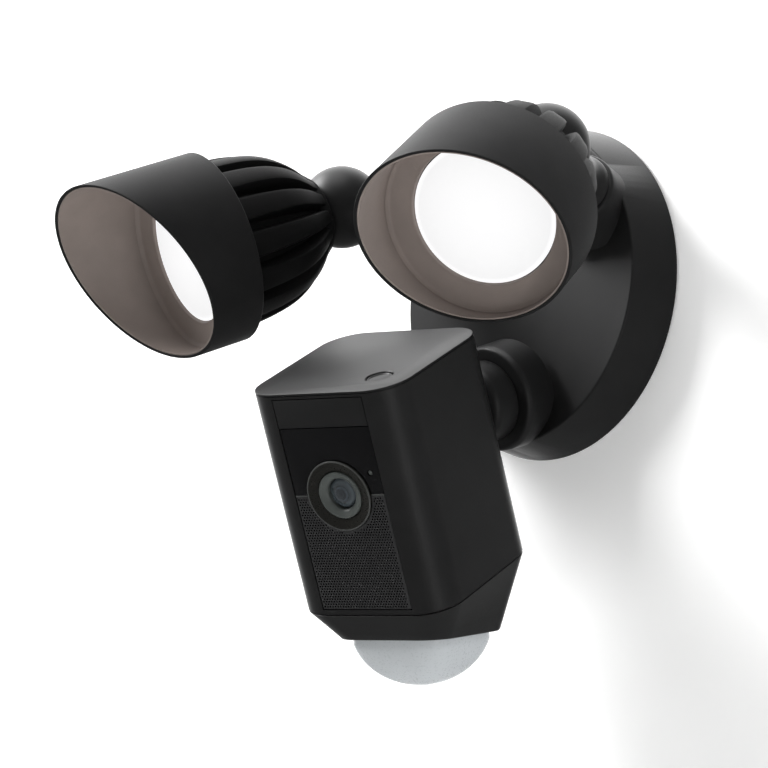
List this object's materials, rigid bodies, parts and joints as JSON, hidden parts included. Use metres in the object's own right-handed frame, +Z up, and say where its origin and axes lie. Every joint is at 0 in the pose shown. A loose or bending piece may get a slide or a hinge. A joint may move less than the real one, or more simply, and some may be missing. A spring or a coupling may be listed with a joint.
{
  "type": "floodlight security camera",
  "caption": "Wall-mounted floodlight camera: a round base with aimable lamp heads on turning arms and a camera housing with a motion sensor dome on a ball joint below.",
  "frame": {"origin": "centre of the base's back, on the wall face of the mounting bracket", "axes": "+Y into the wall, -Y out of it towards the room or yard, +Z up, +X to the right seen from in front"},
  "size_m": [0.2471, 0.1678, 0.222],
  "materials": {
    "shell": "satin",
    "heat_sink": "satin",
    "hood_lining": "matte",
    "diffuser": "satin",
    "gloss": "gloss",
    "speaker_mesh": "matte",
    "lens_barrel": "satin",
    "lens_glass": "polished",
    "dome": "satin",
    "inner_plastic": "matte",
    "circuit_board": "satin",
    "component": "satin",
    "steel": "satin",
    "foam": "matte",
    "seal": "matte"
  },
  "bodies": {
    "base": {"wall_bracket": "steel", "wall_gasket": "foam", "base_housing": "shell", "base_back_plate": "inner_plastic", "back_plate_screw_1": "steel", "back_plate_screw_2": "steel", "back_plate_screw_3": "steel", "back_plate_screw_4": "steel", "driver_board": "circuit_board", "transformer": "component", "smoothing_capacitor": "component", "terminal_block": "component", "siren": "component"},
    "left_arm": {"left_arm": "shell", "left_arm_nut": "steel"},
    "left_head": {"left_heat_sink": "heat_sink", "left_hood": "shell", "left_bezel": "hood_lining", "left_lens": "diffuser", "left_lens_seal": "seal", "left_led_board": "circuit_board"},
    "right_arm": {"right_arm": "shell", "right_arm_nut": "steel"},
    "right_head": {"right_heat_sink": "heat_sink", "right_hood": "shell", "right_bezel": "hood_lining", "right_lens": "diffuser", "right_lens_seal": "seal", "right_led_board": "circuit_board"},
    "camera_arm": {"camera_arm": "shell", "camera_arm_nut": "steel"},
    "camera_ball": {"camera_ball": "steel"},
    "camera": {"camera_shell": "shell", "ball_socket": "inner_plastic", "upper_panel": "shell", "camera_window": "gloss", "speaker_grille": "speaker_mesh", "light_sensor": "gloss", "faceplate": "inner_plastic", "speaker": "component", "lens_surround": "gloss", "lens_barrel": "lens_barrel", "lens_glass": "lens_glass", "image_sensor": "component", "main_board": "circuit_board", "network_module": "steel", "reset_switch": "component", "skirt": "shell", "motion_dome": "dome", "motion_board": "circuit_board", "motion_sensor": "steel"},
    "reset_button": {"reset_button": "shell"}
  },
  "joints": [
    {"name": "left_arm_swivel", "type": "hinge", "parent": "base", "child": "left_arm", "pos_m": [-0.0575, -0.061, 0.036], "axis": [-0.4011, -0.872, 0.2807], "range_deg": [-45, 45]},
    {"name": "left_head_tilt", "type": "hinge", "parent": "left_arm", "child": "left_head", "pos_m": [-0.0575, -0.061, 0.036], "axis": [-0.8062, 0.4434, -0.3918], "range_deg": [-10, 45]},
    {"name": "right_arm_swivel", "type": "hinge", "parent": "base", "child": "right_arm", "pos_m": [0.0575, -0.061, 0.036], "axis": [0.4011, -0.872, 0.2807], "range_deg": [-45, 45]},
    {"name": "right_head_tilt", "type": "hinge", "parent": "right_arm", "child": "right_head", "pos_m": [0.0575, -0.061, 0.036], "axis": [-0.9417, -0.321, -0.1004], "range_deg": [-10, 45]},
    {"name": "camera_swivel", "type": "hinge", "parent": "base", "child": "camera_arm", "pos_m": [0, -0.0364, -0.0466], "axis": [0, -0.9397, -0.342], "range_deg": [-45, 45]},
    {"name": "camera_tilt", "type": "hinge", "parent": "camera_arm", "child": "camera_ball", "pos_m": [0, -0.06506, -0.05703], "axis": [-0.9653, -0.2488, 0.08], "range_deg": [-20, 20]},
    {"name": "camera_pan", "type": "hinge", "parent": "camera_ball", "child": "camera", "pos_m": [0, -0.06506, -0.05703], "axis": [0.1921, -0.4677, 0.8628], "range_deg": [-30, 15]},
    {"name": "reset_button_press", "type": "slide", "parent": "camera", "child": "reset_button", "axis": [-0.1921, 0.4677, -0.8628], "range_m": [0, 0.0012], "stiffness_N_per_m": 600, "springref_m": -0.001}
  ]
}
